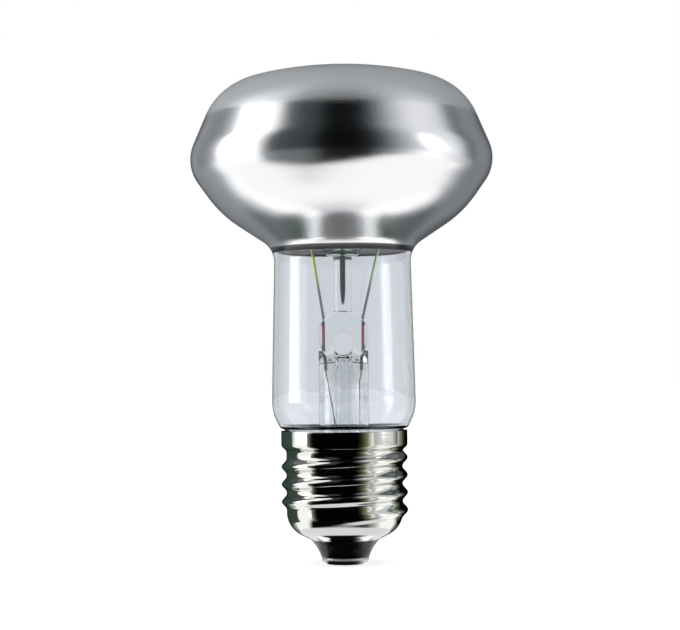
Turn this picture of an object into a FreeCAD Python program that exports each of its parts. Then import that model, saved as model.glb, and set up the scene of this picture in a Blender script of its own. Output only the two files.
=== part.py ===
"""A screw-cap reflector bulb: mirrored blown glass, a rolled screw shell and the glass stem inside.

The bulb stands on its centre contact, cap down and head up. Z runs up the axis and Z = 0 is the face
of the contact. All turned outlines are drawn in the XZ plane and spun about Z.
"""
import FreeCAD, Part
import Sketcher
import math
import os

Vec = FreeCAD.Vector

SIZES = {
    # The cap, from the contact up
    "contact_height": 1.4,
    "contact_radius": 4.9,
    "contact_edge": 1.1,
    "contact_sheet": 0.35,
    "eyelet_radius": 1.4,
    "eyelet_height": 3.2,
    "insulator_height": 3.7,
    "insulator_foot": 5.0,
    "flank_pull": 0.28,
    "flank_radius": 8.0,
    "insulator_top": 1.5,
    "insulator_wrap": 1.76,
    "insulator_bevel": 0.5,
    "funnel_radius": 2.6,
    "funnel_depth": 2.4,
    "shell_wall": 0.3,
    "shell_height": 22.5,
    "mouth_radius": 7.2,
    "dish_rise": 2.4,
    "dish_radius": 5.2,
    "root_radius": 12.1,
    "skirt_flare": 1.05,
    "skirt_height": 3.2,
    "skirt_ramp_height": 0.9,
    # The rolled thread: a right-handed round thread
    "thread_depth": 1.05,
    "thread_pitch": 3.629,
    "thread_turns": 3.5,
    "thread_start": 6.35,
    "crest_width": 0.45,
    "crest_chamfer": 0.3,
    "ridge_width": 2.5,
    "runout_turns": 0.33,
    "runout_slope": 45,
    # The glass envelope, outside line
    "glass_wall": 0.8,
    "seal_depth": 6.6,
    "seal_inset": 1.9,
    "tail_gap": 0.5,
    "tail_height": 3.6,
    "tail_bend": 4.0,
    "tail_corner": 1.8,
    "throat_gap": 0.65,
    "throat_rise": 0.25,
    "throat_bend": 0.8,
    "lip_overhang": 0.15,
    "lip_rise": 0.6,
    "lip_bend": 1.0,
    "hip_swell": 1.73,
    "hip_rise": 4.05,
    "hip_bend": 9.0,
    "neck_length": 33.85,
    "waist_inset": 0.83,
    "waist_bend": 5.1,
    "bowl_flare": 11.2,
    "bowl_rise": 7.4,
    "bowl_bend": 24.0,
    "belly_flare": 7.25,
    "belly_rise": 10.2,
    "belly_bend": 8.0,
    "shoulder_inset": 6.75,
    "shoulder_rise": 15.8,
    "shoulder_bend": 13.0,
    "crown_rise": 4.4,
    "dome_bend": 77.0,
    # The mirror film
    "film_wall": 0.1,
    "film_start": 0.3,
    "film_height": 26.6,
    # The stem
    "flare_radius": 5.2,
    "flare_foot": 5.5,
    "flare_wall": 0.8,
    "flare_bend": 2.6,
    "loft_height": 16.5,
    "press_rise": 6.7,
    "press_wide": 5.2,
    "press_thick": 3.2,
    "roof_rise": 4.1,
    "roof_wide": 4.6,
    "roof_thick": 1.8,
    "disc_radius": 5.25,
    "disc_rise": 3.1,
    "blow_radius": 2.4,
    "blow_drop": 1.6,
    "blow_cutter": 13.0,
    "exhaust_radius": 1.8,
    "exhaust_bore": 1.1,
    "tip_clearance": 4.9,
    "exhaust_entry": 5.1,
    "tip_bend": 1.6,
    "tip_wall": 1.4,
    "arbor_radius": 1.9,
    "arbor_length": 16.6,
    "button_radius": 3.5,
    "button_height": 1.6,
    "button_edge": 0.65,
    # The wires
    "lead_radius": 0.3,
    "lead_spread": 4.1,
    "lead_waist": 7.1,
    "lead_waist_rise": 16.0,
    "lead_foot": 1.5,
    "lead_bend": 3.0,
    "lead_sweep": 12.0,
    "seal_wire_spread": 3.3,
    "seal_wire_rise": 2.2,
    "seal_wire_bend": 1.2,
    "seal_wire_length": 9.4,
    "seal_wire_foot": 1.4,
    "seal_wire_slant": 2.8,
    "copper_radius": 0.125,
    "copper_bend": 0.25,
    "copper_sweep": 0.9,
    "copper_gap": 0.06,
    "centre_wire_rise": 0.9,
    "side_wire_sweep": 3.6,
    "side_wire_knee": 0.45,
    "side_wire_drift": 1.1,
    "side_wire_sag": 0.5,
    "side_wire_rise": 1.35,
    "solder_height": 1.3,
    "wire_end": 0.5,
    "filament_ring": 9.0,
    "filament_radius": 0.25,
    "filament_rise": 28.7,
    "lead_overrun": 0.7,
    "support_radius": 0.2,
    "support_root": 1.3,
    "support_reach": 5.0,
    "support_bend": 1.5,
    "support_sweep": 3.0,
    "support_step": 45,
    "hook_gap": 0.1,
    "hook_bend": 0.5,
    "side_solder_wide": 1.8,
    "side_solder_deep": 0.65,
    "side_solder_tall": 0.8,
    "side_solder_drop": 0.5,
    "cement_low": 2.6,
    "cement_high": 1.0,
}

doc = FreeCAD.newDocument("ReflectorBulb")
size = doc.addObject("Spreadsheet::Sheet", "size")
for row, (alias, number) in enumerate(SIZES.items(), start=1):
    size.set(f"A{row}", alias)
    size.set(f"B{row}", str(number))
    size.setAlias(f"B{row}", alias)
doc.recompute()

# Heights, each from the one below it
MOUTH_Z = "(size.contact_height + size.insulator_height)"
RIM_Z = f"({MOUTH_Z} + size.shell_height)"
SEAL_Z = f"({RIM_Z} - size.seal_depth)"
TAIL_Z = f"({SEAL_Z} + size.tail_height)"
THROAT_Z = f"({RIM_Z} + size.throat_rise)"
LIP_Z = f"({RIM_Z} + size.lip_rise)"
HIP_Z = f"({RIM_Z} + size.hip_rise)"
WAIST_Z = f"({HIP_Z} + size.neck_length)"
BOWL_Z = f"({WAIST_Z} + size.bowl_rise)"
BELLY_Z = f"({BOWL_Z} + size.belly_rise)"
SHOULDER_Z = f"({BELLY_Z} + size.shoulder_rise)"
CROWN_Z = f"({SHOULDER_Z} + size.crown_rise)"
LOFT_Z = f"({SEAL_Z} + size.loft_height)"
PRESS_Z = f"({LOFT_Z} + size.press_rise)"
DISC_Z = f"({PRESS_Z} + size.disc_rise)"
ROOF_Z = f"({LOFT_Z} + size.roof_rise)"
EXHAUST_TOP_Z = f"({LOFT_Z} + size.exhaust_entry)"
LEAD_Z = f"({DISC_Z} + size.seal_wire_rise)"
SEAL_WIRE_Z = f"({LEAD_Z} - size.seal_wire_length)"
BUTTON_Z = f"({DISC_Z} + size.arbor_length)"
FILAMENT_Z = f"({DISC_Z} + size.filament_rise)"
SKIRT_Z = f"({RIM_Z} - size.skirt_height)"
ROOT_Z = f"({SKIRT_Z} - size.skirt_ramp_height)"
TIP_Z = f"({MOUTH_Z} + size.insulator_top + size.tip_clearance)"

# Radii, each from the one that it fits in or swells from
SKIRT_R = "(size.root_radius + size.skirt_flare)"
CREST_R = "(size.root_radius + size.thread_depth)"
SKIRT_IN = f"({SKIRT_R} - size.shell_wall)"
ROOT_IN = "(size.root_radius - size.shell_wall)"
TAIL_R = f"({ROOT_IN} - size.tail_gap)"
SEAL_R = f"({TAIL_R} - size.seal_inset)"
THROAT_R = f"({SKIRT_IN} - size.throat_gap)"
LIP_R = f"({SKIRT_R} + size.lip_overhang)"
HIP_R = f"({LIP_R} + size.hip_swell)"
WAIST_R = f"({HIP_R} - size.waist_inset)"
BOWL_R = f"({WAIST_R} + size.bowl_flare)"
BELLY_R = f"({BOWL_R} + size.belly_flare)"
SHOULDER_R = f"({BELLY_R} - size.shoulder_inset)"


def value(expression):
    """The number that an expression of the sheet's cells comes to."""
    return float(size.evalExpression(expression))


def plane_of(body, role):
    """One of a body's own three origin planes."""
    return next(o for o in body.Origin.OriginFeatures if o.Role == role)


def new_body(label):
    body = doc.addObject("PartDesign::Body", label)
    body.Label = label
    return body


def sketch_in(body, name, role="XZ_Plane", offset=None):
    """A sketch on one of the body's origin planes, moved along the plane's normal by an expression."""
    sketch = body.newObject("Sketcher::SketchObject", name)
    sketch.AttachmentSupport = [(plane_of(body, role), "")]
    sketch.MapMode = "FlatFace"
    if offset:
        sketch.setExpression("AttachmentOffset.Base.z", offset)
    return sketch


def loose_sketch(name, upright=True, height=None):
    """A sketch outside any body: upright in the XZ plane, or flat at a height."""
    sketch = doc.addObject("Sketcher::SketchObject", name)
    if upright:
        sketch.Placement = FreeCAD.Placement(Vec(0, 0, 0), FreeCAD.Rotation(Vec(1, 0, 0), 90))
    if height:
        sketch.setExpression("Placement.Base.z", height)
    return sketch


def drive(sketch, expression, *what):
    """Adds a constraint whose value follows an expression of the sheet."""
    index = sketch.addConstraint(Sketcher.Constraint(*what, value(expression)))
    sketch.setExpression(f"Constraints[{index}]", expression)


def place(sketch, geometry, point, x, z):
    """Fixes a point of the sketch at two expressions, or on an axis where one is 0."""
    for kind, axis, expression in (("DistanceX", -2, x), ("DistanceY", -1, z)):
        if expression == "0":
            sketch.addConstraint(Sketcher.Constraint("PointOnObject", geometry, point, axis))
        else:
            drive(sketch, expression, kind, geometry, point)


def corner_point(sketch, x, z, *lines):
    """A construction point at two expressions that the given lines run through."""
    spot = sketch.addGeometry(Part.Point(Vec(value(x), value(z), 0)), True)
    place(sketch, spot, 1, x, z)
    for line in lines:
        sketch.addConstraint(Sketcher.Constraint("PointOnObject", spot, 1, line))


def arc_between(sketch, centre, start, end):
    """An arc about a centre by the shorter way, with the number of the end that lies at start."""
    first = math.atan2(start.y - centre.y, start.x - centre.x)
    last = math.atan2(end.y - centre.y, end.x - centre.x)
    forward = (last - first) % (2 * math.pi) < math.pi
    circle = Part.Circle(centre, Vec(0, 0, 1), (start - centre).Length)
    arc = Part.ArcOfCircle(circle, first, last) if forward else Part.ArcOfCircle(circle, last, first)
    return sketch.addGeometry(arc), (1 if forward else 2)


def outline(sketch, corners, closed=True, free_start=False):
    """Lines through the corners (x, z, bend), each rounded by its bend. Returns the lines' numbers.

    Each bend is an arc tangent to both of its lines, whose corner stays as a construction point.
    With free_start the first end is left to be tied by the caller.
    """
    points = [Vec(value(x), value(z), 0) for x, z, _ in corners]
    count = len(corners)
    trims = []
    for i, (_, _, bend) in enumerate(corners):
        here = points[i]
        if bend is None:
            trims.append((here, here, None))
            continue
        back = (points[i - 1] - here).normalize()
        onward = (points[(i + 1) % count] - here).normalize()
        half = back.getAngle(onward) / 2
        reach = value(bend) / math.tan(half)
        middle = (back + onward).normalize() * (value(bend) / math.sin(half))
        trims.append((here + back * reach, here + onward * reach, here + middle))
    lines = []
    for i in range(count if closed else count - 1):
        start, end = trims[i][1], trims[(i + 1) % count][0]
        lines.append(sketch.addGeometry(Part.LineSegment(start, end)))
    for i, (x, z, bend) in enumerate(corners):
        first_end = not closed and i == 0
        last_end = not closed and i == count - 1
        if first_end:
            if not free_start:
                place(sketch, lines[0], 1, x, z)
            continue
        if last_end:
            place(sketch, lines[-1], 2, x, z)
            continue
        before, after = lines[i - 1], lines[i]
        if bend is None:
            sketch.addConstraint(Sketcher.Constraint("Coincident", before, 2, after, 1))
            place(sketch, after, 1, x, z)
            continue
        arc, near = arc_between(sketch, trims[i][2], trims[i][0], trims[i][1])
        sketch.addConstraint(Sketcher.Constraint("Tangent", before, 2, arc, near))
        sketch.addConstraint(Sketcher.Constraint("Tangent", arc, 3 - near, after, 1))
        drive(sketch, bend, "Radius", arc)
        corner_point(sketch, x, z, before, after)
    return lines


def ring_line(sketch, radius, x="0", wide=None):
    """A circle at (x, 0), or an ellipse with its long half axis along X where wide is given."""
    centre = Vec(value(x), 0, 0)
    if wide is None:
        shape = sketch.addGeometry(Part.Circle(centre, Vec(0, 0, 1), value(radius)))
        place(sketch, shape, 3, x, "0")
        drive(sketch, radius, "Radius", shape)
        return
    long_end = Vec(value(wide), 0, 0)
    short_end = Vec(0, value(radius), 0)
    shape = sketch.addGeometry(Part.Ellipse(long_end, short_end, centre))
    sketch.exposeInternalGeometry(shape)
    major, minor = shape + 1, shape + 2
    sketch.addConstraint(Sketcher.Constraint("Coincident", shape, 3, -1, 1))
    sketch.addConstraint(Sketcher.Constraint("Horizontal", major))
    drive(sketch, f"2 * {wide}", "Distance", major)
    drive(sketch, f"2 * {radius}", "Distance", minor)


def turned(label, corners):
    """A body made by spinning a closed outline about Z."""
    body = new_body(label)
    sketch = sketch_in(body, f"{label}_outline")
    outline(sketch, corners)
    spin = body.newObject("PartDesign::Revolution", f"{label}_turned")
    spin.Profile = sketch
    spin.ReferenceAxis = (sketch, ["V_Axis"])
    spin.Angle = 360
    return body


def thickened(name, source, wall, fill=True):
    """The strip between a line and its parallel at a wall's distance, or the parallel alone."""
    strip = doc.addObject("Part::Offset2D", name)
    strip.Source = source
    strip.Mode = "Skin"
    strip.Join = "Intersection"
    strip.Fill = fill
    strip.Value = value(wall)
    strip.setExpression("Value", wall)
    return strip


def spun(name, source):
    spin = doc.addObject("Part::Revolution", name)
    spin.Source = source
    spin.Axis = Vec(0, 0, 1)
    spin.Base = Vec(0, 0, 0)
    spin.Angle = 360
    spin.Solid = True
    return spin


def primitive(kind, name, turn=None, **sizes):
    """A Part primitive with each size bound to an expression, turned before it is placed."""
    shape = doc.addObject(kind, name)
    if turn:
        shape.Placement = FreeCAD.Placement(Vec(0, 0, 0), turn)
    for size_name, expression in sizes.items():
        shape.setExpression(size_name.replace("_at_", ".Base."), expression)
    return shape


def without(label, base, *tools):
    """The base with each tool cut from it in turn."""
    for number, tool in enumerate(tools, start=1):
        cut = doc.addObject("Part::Cut", f"{label}_cut_{number}")
        cut.Base = base
        cut.Tool = tool
        base = cut
    base.Label = label
    return base


def joined(name, *shapes):
    fuse = doc.addObject("Part::MultiFuse", name)
    fuse.Shapes = list(shapes)
    return fuse


def wire_body(label, radius, corners, turn=0):
    """A round wire along a rounded line in the XZ plane that starts upright, turned about Z."""
    body = new_body(label)
    x, z, _ = corners[0]
    section = sketch_in(body, f"{label}_section", "XY_Plane", z)
    ring_line(section, radius, x)
    path = sketch_in(body, f"{label}_path")
    outline(path, corners, closed=False)
    pipe = body.newObject("PartDesign::AdditivePipe", f"{label}_pipe")
    pipe.Profile = section
    pipe.Spine = path
    body.Placement = FreeCAD.Placement(Vec(0, 0, 0), FreeCAD.Rotation(Vec(0, 0, 1), turn))
    return body


def glass_line():
    """The outside line of the envelope, from the crown to the sealed end in the cap."""
    sketch = loose_sketch("glass_outline")
    lines = outline(sketch, [
        (SHOULDER_R, SHOULDER_Z, None),
        (BELLY_R, BELLY_Z, "size.belly_bend"),
        (BOWL_R, BOWL_Z, "size.bowl_bend"),
        (WAIST_R, WAIST_Z, "size.waist_bend"),
        (HIP_R, HIP_Z, "size.hip_bend"),
        (LIP_R, LIP_Z, "size.lip_bend"),
        (THROAT_R, THROAT_Z, "size.throat_bend"),
        (TAIL_R, TAIL_Z, "size.tail_bend"),
        (TAIL_R, SEAL_Z, "size.tail_corner"),
        (SEAL_R, SEAL_Z, None),
    ], closed=False, free_start=True)
    # The shoulder's arc touches the cone below it and the inside of the dome's large circle
    belly = Vec(value(BELLY_R), value(BELLY_Z), 0)
    shoulder = Vec(value(SHOULDER_R), value(SHOULDER_Z), 0)
    dome_bend, shoulder_bend = value("size.dome_bend"), value("size.shoulder_bend")
    dome_centre = Vec(0, value(CROWN_Z) - dome_bend, 0)
    up = (shoulder - belly).normalize()
    inward = Vec(-up.y, up.x, 0)
    offset = belly + inward * shoulder_bend - dome_centre
    along = offset.dot(up)
    climb = -along + math.sqrt(along**2 - offset.dot(offset) + (dome_bend - shoulder_bend) ** 2)
    centre = dome_centre + offset + up * climb
    foot = centre - inward * shoulder_bend
    top = dome_centre + (centre - dome_centre).normalize() * dome_bend
    crown = Vec(0, value(CROWN_Z), 0)
    shoulder_arc, foot_end = arc_between(sketch, centre, foot, top)
    dome_arc, top_end = arc_between(sketch, dome_centre, top, crown)
    sketch.addConstraint(Sketcher.Constraint("Tangent", lines[0], 1, shoulder_arc, foot_end))
    sketch.addConstraint(Sketcher.Constraint("Tangent", shoulder_arc, 3 - foot_end, dome_arc, top_end))
    sketch.addConstraint(Sketcher.Constraint("PointOnObject", dome_arc, 3, -2))
    drive(sketch, "size.shoulder_bend", "Radius", shoulder_arc)
    drive(sketch, "size.dome_bend", "Radius", dome_arc)
    place(sketch, dome_arc, 3 - top_end, "0", CROWN_Z)
    corner_point(sketch, SHOULDER_R, SHOULDER_Z, lines[0])
    return sketch


def make_glass(line):
    """The envelope: the strip inside the outside line, spun."""
    glass = spun("glass", thickened("glass_strip", line, "-size.glass_wall"))
    glass.Label = "glass_bulb"
    return glass


def make_film(line):
    """The mirror film: a thin layer on the inside of the bowl, between two heights."""
    inside = thickened("glass_inside", line, "-size.glass_wall", fill=False)
    layer = spun("film_layer", thickened("film_strip", inside, "-size.film_wall"))
    band = primitive(
        "Part::Cylinder", "film_band",
        Radius=BELLY_R,
        Height="size.film_height",
        Placement_at_z=f"{WAIST_Z} - size.film_start",
    )
    film = doc.addObject("Part::Common", "film")
    film.Base = layer
    film.Tool = band
    film.Label = "reflector_coating"
    return film


def make_shell():
    """The screw shell: thin sheet with a rolled thread, so the ridge outside is a groove inside."""
    line = loose_sketch("shell_outline")
    outline(line, [
        (SKIRT_R, RIM_Z, None),
        (SKIRT_R, SKIRT_Z, None),
        ("size.root_radius", ROOT_Z, None),
        ("size.root_radius", f"{MOUTH_Z} + size.dish_rise", "size.dish_radius"),
        ("size.mouth_radius", MOUTH_Z, None),
    ], closed=False)
    sheet = spun("shell_sheet", thickened("shell_strip", line, "-size.shell_wall"))
    body = new_body("shell_body")
    body.BaseFeature = sheet
    root = "size.root_radius - size.shell_wall / 2"
    crest = CREST_R
    bevel = "size.crest_chamfer"
    ridge = [(root, "size.ridge_width / 2"), (f"{crest} - {bevel}", f"size.crest_width / 2 + {bevel}"),
             (crest, "size.crest_width / 2")]
    groove = [(f"{root} - size.shell_wall", "size.ridge_width / 2"),
              (f"{crest} - size.shell_wall", "size.crest_width / 2")]
    thread_coil(body, "PartDesign::AdditiveHelix", "ridge_end", ridge, runout=True)
    thread_coil(body, "PartDesign::AdditiveHelix", "ridge", ridge)
    clear_skirt(body)
    thread_coil(body, "PartDesign::SubtractiveHelix", "groove_end", groove, runout=True)
    thread_coil(body, "PartDesign::SubtractiveHelix", "groove", groove)
    body.Label = "cap_shell"
    return body


def clear_skirt(body):
    """Cuts the ridge away where it would stand inside the skirt, back to the sheet's inner face."""
    lift = "size.shell_wall * tan(atan(size.skirt_flare / size.skirt_ramp_height) / 2)"
    inner = f"({ROOT_IN} - size.shell_wall)"
    sketch = sketch_in(body, "skirt_hollow")
    outline(sketch, [
        (inner, f"{ROOT_Z} + {lift}", None),
        (ROOT_IN, f"{ROOT_Z} + {lift}", None),
        (SKIRT_IN, f"{SKIRT_Z} + {lift}", None),
        (SKIRT_IN, RIM_Z, None),
        (inner, RIM_Z, None),
    ])
    hollow = body.newObject("PartDesign::Groove", "skirt_cleared")
    hollow.Profile = sketch
    hollow.ReferenceAxis = (sketch, ["V_Axis"])
    hollow.Angle = 360


def thread_coil(body, kind, name, half_profile, runout=False):
    """A coil of the thread, its profile the same above and below its middle.

    The run-out goes on down from the thread's start and sinks into the shell.
    """
    middle = f"{MOUTH_Z} + size.thread_start"
    above = [(x, f"{middle} + {z}", None) for x, z in half_profile]
    below = [(x, f"{middle} - ({z})", None) for x, z in reversed(half_profile)]
    sketch = sketch_in(body, f"{name}_profile")
    outline(sketch, above + below)
    coil = body.newObject(kind, f"{name}_coil")
    coil.Profile = sketch
    coil.ReferenceAxis = (sketch, ["V_Axis"])
    coil.Mode = "pitch-turns-angle"
    coil.setExpression("Pitch", "size.thread_pitch")
    coil.setExpression("Turns", "size.runout_turns" if runout else "size.thread_turns")
    coil.setExpression("Angle", "-size.runout_slope" if runout else "0")
    coil.Reversed = runout
    coil.LeftHanded = False


def make_insulator(shell):
    """The black glass moulded into the shell's mouth and round the eyelet."""
    foot_gap = "size.contact_radius - size.contact_sheet"
    slope = "(size.dish_rise / (size.root_radius - size.mouth_radius))"
    wrap = "size.mouth_radius + size.insulator_wrap"
    raw = turned("insulator_blank", [
        ("size.eyelet_radius", "size.contact_sheet", None),
        (foot_gap, "size.contact_sheet", "size.contact_edge - size.contact_sheet"),
        (foot_gap, "size.contact_height", None),
        ("size.insulator_foot", "size.contact_height", None),
        ("(size.insulator_foot + size.mouth_radius) / 2 - size.flank_pull",
         f"(size.contact_height + {MOUTH_Z}) / 2 + size.flank_pull", "size.flank_radius"),
        ("size.mouth_radius", MOUTH_Z, None),
        (wrap, f"{MOUTH_Z} + size.insulator_wrap * {slope} + size.shell_wall / 2", None),
        (f"{wrap} - size.insulator_bevel", f"{MOUTH_Z} + size.insulator_top", None),
        ("size.funnel_radius", f"{MOUTH_Z} + size.insulator_top", None),
        ("size.eyelet_radius", f"{MOUTH_Z} + size.insulator_top - size.funnel_depth", None),
    ])
    return without("cap_insulator", raw, shell)


def make_contact():
    """The centre contact: a drawn cup with an eyelet that the wire runs through."""
    inside = "size.contact_radius - size.contact_sheet"
    hole = "size.eyelet_radius - size.contact_sheet"
    return turned("centre_contact", [
        (hole, "0", None),
        ("size.contact_radius", "0", "size.contact_edge"),
        ("size.contact_radius", "size.contact_height", None),
        (inside, "size.contact_height", None),
        (inside, "size.contact_sheet", "size.contact_edge - size.contact_sheet"),
        ("size.eyelet_radius", "size.contact_sheet", None),
        ("size.eyelet_radius", "size.eyelet_height", None),
        (hole, "size.eyelet_height", None),
    ])


def make_exhaust():
    """The tube that the bulb was pumped out through, melted shut at its lower tip."""
    inner_bend = "size.tip_bend - (size.exhaust_radius - size.exhaust_bore)"
    return turned("exhaust_tube", [
        ("0", TIP_Z, None),
        ("size.exhaust_radius", TIP_Z, "size.tip_bend"),
        ("size.exhaust_radius", EXHAUST_TOP_Z, None),
        ("size.exhaust_bore", EXHAUST_TOP_Z, None),
        ("size.exhaust_bore", f"{TIP_Z} + size.tip_wall", inner_bend),
        ("0", f"{TIP_Z} + size.tip_wall", None),
    ])


def press_disc(name):
    """The flat round of the press, standing across the Y axis."""
    return primitive(
        "Part::Cylinder", name, FreeCAD.Rotation(Vec(1, 0, 0), 90),
        Radius="size.disc_radius", Height="size.press_thick",
        Placement_at_y="size.press_thick / 2", Placement_at_z=DISC_Z,
    )


def make_stem(wires):
    """The stem: a flare tube drawn in to a flat press, with the blow hole through it."""
    bore = "(size.flare_radius - size.flare_wall)"
    line = loose_sketch("flare_outline")
    outline(line, [
        (SEAL_R, SEAL_Z, None),
        ("size.flare_foot - size.flare_wall", SEAL_Z, "size.flare_bend"),
        (bore, f"{LOFT_Z} - size.flare_bend", "size.flare_bend"),
        (bore, LOFT_Z, None),
    ], closed=False)
    flare = spun("flare_tube", thickened("flare_strip", line, "-size.flare_wall"))
    press = lofted("press", ("size.flare_radius", LOFT_Z),
                   ("size.press_thick / 2", "size.press_wide", PRESS_Z))
    hollow = lofted("hollow", (bore, LOFT_Z),
                    ("size.roof_thick / 2", "size.roof_wide", ROOF_Z))
    solid = joined("stem_solid", flare, press, press_disc("stem_disc"))
    blow_hole = primitive(
        "Part::Cylinder", "blow_hole", FreeCAD.Rotation(Vec(1, 0, 0), 90),
        Radius="size.blow_radius", Height="size.blow_cutter",
        Placement_at_y="size.blow_cutter / 2", Placement_at_z=f"{DISC_Z} - size.blow_drop",
    )
    socket = primitive(
        "Part::Cylinder", "exhaust_socket", Radius="size.exhaust_radius",
        Height="size.exhaust_entry", Placement_at_z=LOFT_Z,
    )
    passage = primitive(
        "Part::Cylinder", "exhaust_passage", Radius="size.exhaust_bore",
        Height=f"{DISC_Z} - size.blow_drop - {LOFT_Z}", Placement_at_z=LOFT_Z,
    )
    return without("stem_flare", solid, hollow, blow_hole, socket, passage, *wires)


def lofted(name, low, high):
    """A solid from a circle (radius, z) up to an ellipse (half depth, half width, z)."""
    circle = loose_sketch(f"{name}_circle", upright=False, height=low[1])
    ring_line(circle, low[0])
    ellipse = loose_sketch(f"{name}_ellipse", upright=False, height=high[2])
    ring_line(ellipse, high[0], wide=high[1])
    loft = doc.addObject("Part::Loft", f"{name}_loft")
    loft.Sections = [circle, ellipse]
    loft.Solid = True
    loft.Ruled = True
    return loft


def make_leads(side, turn):
    """One side's wires in the press and above it: the red seal wire and the inner lead."""
    slant = f"{SEAL_WIRE_Z} + size.seal_wire_foot"
    seal = wire_body(f"dumet_seal_{side}", "size.lead_radius", [
        ("size.seal_wire_spread", SEAL_WIRE_Z, None),
        ("size.seal_wire_spread", slant, "size.seal_wire_bend"),
        ("size.lead_spread", f"{slant} + size.seal_wire_slant", "size.seal_wire_bend"),
        ("size.lead_spread", LEAD_Z, None),
    ], turn)
    lead = wire_body(f"inner_lead_{side}", "size.lead_radius", [
        ("size.lead_spread", LEAD_Z, None),
        ("size.lead_spread", f"{LEAD_Z} + size.lead_foot", "size.lead_bend"),
        ("size.lead_waist", f"{LEAD_Z} + size.lead_waist_rise", "size.lead_sweep"),
        ("size.filament_ring", f"{FILAMENT_Z} + size.lead_overrun", None),
    ], turn)
    return seal, lead


def make_centre_wire():
    """The copper wire from the right seal wire down through the eyelet into the solder."""
    return wire_body("outer_lead_centre", "size.copper_radius", [
        ("0", "size.wire_end", None),
        ("0", f"{MOUTH_Z} + size.insulator_top", "size.copper_sweep"),
        ("size.seal_wire_spread", f"{TIP_Z} + size.centre_wire_rise", "size.copper_sweep"),
        ("size.seal_wire_spread", SEAL_WIRE_Z, None),
    ])


def rounded_path(points, bends):
    """A wire of straight runs through the points, with an arc of the given bend at each inner one."""
    edges = []
    start = points[0]
    for before, here, after, bend in zip(points, points[1:], points[2:], bends):
        back = (before - here).normalize()
        onward = (after - here).normalize()
        half = back.getAngle(onward) / 2
        reach = bend / math.tan(half)
        centre = here + (back + onward).normalize() * (bend / math.sin(half))
        middle = centre + (here - centre).normalize() * bend
        edges.append(Part.LineSegment(start, here + back * reach).toShape())
        edges.append(Part.Arc(here + back * reach, middle, here + onward * reach).toShape())
        start = here + onward * reach
    edges.append(Part.LineSegment(start, points[-1]).toShape())
    return Part.Wire(edges)


def make_side_wire():
    """The copper wire from the left seal wire round under the glass and over the shell's rim.

    It crosses the flare in a slant, so it runs in three planes and is swept along its own path.
    """
    radius, gap = value("size.copper_radius"), value("size.copper_gap")
    sweep, bend = value("size.copper_sweep"), value("size.copper_bend")
    long_sweep, knee = value("size.side_wire_sweep"), value("size.side_wire_knee")
    spread = value("size.seal_wire_spread")
    rim, seal, tail = value(RIM_Z), value(SEAL_Z), value(TAIL_Z)
    under = seal - value("size.side_wire_sag")
    between = (value(TAIL_R) + value(ROOT_IN)) / 2
    up_skirt = value(SKIRT_IN) - radius - gap
    outside = value(SKIRT_R) + radius + gap
    over = rim + radius + gap
    points = [
        Vec(-spread, 0, value(SEAL_WIRE_Z)),
        Vec(-spread, 0, value(LOFT_Z)),
        Vec(-value("size.side_wire_drift"), spread, seal + value("size.flare_bend")),
        Vec(0, spread + sweep, under),
        Vec(0, between, under),
        Vec(0, between, tail - sweep),
        Vec(0, up_skirt, tail + value("size.side_wire_rise")),
        Vec(0, up_skirt, over),
        Vec(0, outside, over),
        Vec(0, outside, rim - value("size.side_solder_drop")),
    ]
    bends = [long_sweep, long_sweep, sweep, knee, sweep, sweep, bend, bend]
    path = rounded_path(points, bends)
    section = Part.Wire(Part.Circle(points[0], Vec(0, 0, 1), radius).toShape())
    wire = doc.addObject("Part::Feature", "side_wire")
    wire.Shape = path.makePipeShell([section], True, True)
    wire.Label = "outer_lead_side"
    return wire


def make_support(number):
    """A wire from the button out and up, hooked over the filament."""
    label = f"support_wire_{number}"
    body = new_body(label)
    start = "(size.button_radius - size.support_root)"
    level = f"({BUTTON_Z} + size.button_height / 2)"
    near = "(size.filament_ring - size.filament_radius - size.support_radius - size.hook_gap)"
    far = "(size.filament_ring + size.filament_radius + size.support_radius + size.hook_gap)"
    over = f"({FILAMENT_Z} + size.filament_radius + size.support_radius + size.hook_gap)"
    section = sketch_in(body, f"{label}_section", "YZ_Plane", start)
    centre = Vec(0, value(level), 0)
    circle = section.addGeometry(Part.Circle(centre, Vec(0, 0, 1), value("size.support_radius")))
    place(section, circle, 3, "0", level)
    drive(section, "size.support_radius", "Radius", circle)
    path = sketch_in(body, f"{label}_path")
    outline(path, [
        (start, level, None),
        ("size.support_reach", level, "size.support_bend"),
        (near, f"{FILAMENT_Z} - size.support_sweep", "size.support_sweep"),
        (near, over, "size.hook_bend"),
        (far, over, "size.hook_bend"),
        (far, f"{FILAMENT_Z} - size.filament_radius", None),
    ], closed=False)
    pipe = body.newObject("PartDesign::AdditivePipe", f"{label}_pipe")
    pipe.Profile = section
    pipe.Spine = path
    turn = FreeCAD.Rotation(Vec(0, 0, 1), number * value("size.support_step"))
    body.Placement = FreeCAD.Placement(Vec(0, 0, 0), turn)
    return body


def make_filament(leads):
    """The coiled wire as a half ring of the coil's outer size, its ends at the leads."""
    ring = primitive(
        "Part::Torus", "filament_ring", Radius1="size.filament_ring",
        Radius2="size.filament_radius", Placement_at_z=FILAMENT_Z,
    )
    ring.Angle3 = 180
    return without("filament", ring, *leads)


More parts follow.
